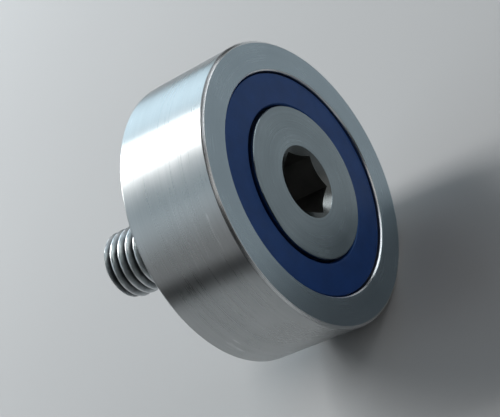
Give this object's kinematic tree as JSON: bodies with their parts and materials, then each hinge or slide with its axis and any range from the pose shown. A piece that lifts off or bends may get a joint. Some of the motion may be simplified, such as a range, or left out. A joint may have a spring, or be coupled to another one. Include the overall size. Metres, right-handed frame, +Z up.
{
  "type": "cam follower",
  "caption": "Stud-type cam follower: thick ground steel roller on a sealed ball bearing, flat head with a hexagon socket, conical flange bush with a flat seat, and a threaded stud.",
  "frame": {"origin": "centre of the flat seat on the back of the flange bush, on the stud's axis", "axes": "+Y along the stud, out of the seat towards the thread; the hexagon socket faces -Y; +Z up when the roller stands on its rim"},
  "size_m": [0.04, 0.0339, 0.04],
  "materials": {
    "roller_steel": "ground rim with fine lines round it, satin faces",
    "stud_steel": "turned, with fine circular marks",
    "bush_steel": "satin, turned",
    "bearing_steel": "ground",
    "ball_steel": "polished",
    "cage_steel": "pressed sheet",
    "insert_steel": "pressed sheet",
    "seal_rubber": "matte moulded rubber, dark blue"
  },
  "bodies": {
    "stud": {"stud_bolt": "stud_steel", "inner_ring": "bearing_steel", "flange_bush": "bush_steel"},
    "roller": {"outer_ring": "roller_steel", "front_seal": "seal_rubber", "front_seal_insert": "insert_steel", "rear_seal": "seal_rubber", "rear_seal_insert": "insert_steel"},
    "cage": {"front_cage_half": "cage_steel", "rear_cage_half": "cage_steel", "cage_rivet_1": "cage_steel", "cage_rivet_2": "cage_steel", "cage_rivet_3": "cage_steel", "cage_rivet_4": "cage_steel", "cage_rivet_5": "cage_steel", "cage_rivet_6": "cage_steel", "cage_rivet_7": "cage_steel", "cage_rivet_8": "cage_steel"},
    "ball_1_body": {"ball_1": "ball_steel"},
    "ball_2_body": {"ball_2": "ball_steel"},
    "ball_3_body": {"ball_3": "ball_steel"},
    "ball_4_body": {"ball_4": "ball_steel"},
    "ball_5_body": {"ball_5": "ball_steel"},
    "ball_6_body": {"ball_6": "ball_steel"},
    "ball_7_body": {"ball_7": "ball_steel"},
    "ball_8_body": {"ball_8": "ball_steel"}
  },
  "joints": [
    {"name": "roller_spin", "type": "hinge", "parent": "stud", "child": "roller", "pos_m": [0, -0.0112, 0], "axis": [0, 1, 0], "continuous": true},
    {"name": "cage_spin", "type": "hinge", "parent": "stud", "child": "cage", "pos_m": [0, -0.0112, 0], "axis": [0, 1, 0], "continuous": true},
    {"name": "ball_1_spin", "type": "hinge", "parent": "cage", "child": "ball_1_body", "pos_m": [0, -0.0112, 0.0125], "axis": [0, 1, 0], "continuous": true},
    {"name": "ball_2_spin", "type": "hinge", "parent": "cage", "child": "ball_2_body", "pos_m": [0.00884, -0.0112, 0.00884], "axis": [0, 1, 0], "continuous": true},
    {"name": "ball_3_spin", "type": "hinge", "parent": "cage", "child": "ball_3_body", "pos_m": [0.0125, -0.0112, 0], "axis": [0, 1, 0], "continuous": true},
    {"name": "ball_4_spin", "type": "hinge", "parent": "cage", "child": "ball_4_body", "pos_m": [0.00884, -0.0112, -0.00884], "axis": [0, 1, 0], "continuous": true},
    {"name": "ball_5_spin", "type": "hinge", "parent": "cage", "child": "ball_5_body", "pos_m": [0, -0.0112, -0.0125], "axis": [0, 1, 0], "continuous": true},
    {"name": "ball_6_spin", "type": "hinge", "parent": "cage", "child": "ball_6_body", "pos_m": [-0.00884, -0.0112, -0.00884], "axis": [0, 1, 0], "continuous": true},
    {"name": "ball_7_spin", "type": "hinge", "parent": "cage", "child": "ball_7_body", "pos_m": [-0.0125, -0.0112, 0], "axis": [0, 1, 0], "continuous": true},
    {"name": "ball_8_spin", "type": "hinge", "parent": "cage", "child": "ball_8_body", "pos_m": [-0.00884, -0.0112, 0.00884], "axis": [0, 1, 0], "continuous": true}
  ],
  "couplings": [
    {"joint": "cage_spin", "follows": "roller_spin", "ratio": 0.61906},
    {"joint": "ball_1_spin", "follows": "roller_spin", "ratio": 1.9807},
    {"joint": "ball_2_spin", "follows": "roller_spin", "ratio": 1.9807},
    {"joint": "ball_3_spin", "follows": "roller_spin", "ratio": 1.9807},
    {"joint": "ball_4_spin", "follows": "roller_spin", "ratio": 1.9807},
    {"joint": "ball_5_spin", "follows": "roller_spin", "ratio": 1.9807},
    {"joint": "ball_6_spin", "follows": "roller_spin", "ratio": 1.9807},
    {"joint": "ball_7_spin", "follows": "roller_spin", "ratio": 1.9807},
    {"joint": "ball_8_spin", "follows": "roller_spin", "ratio": 1.9807}
  ]
}
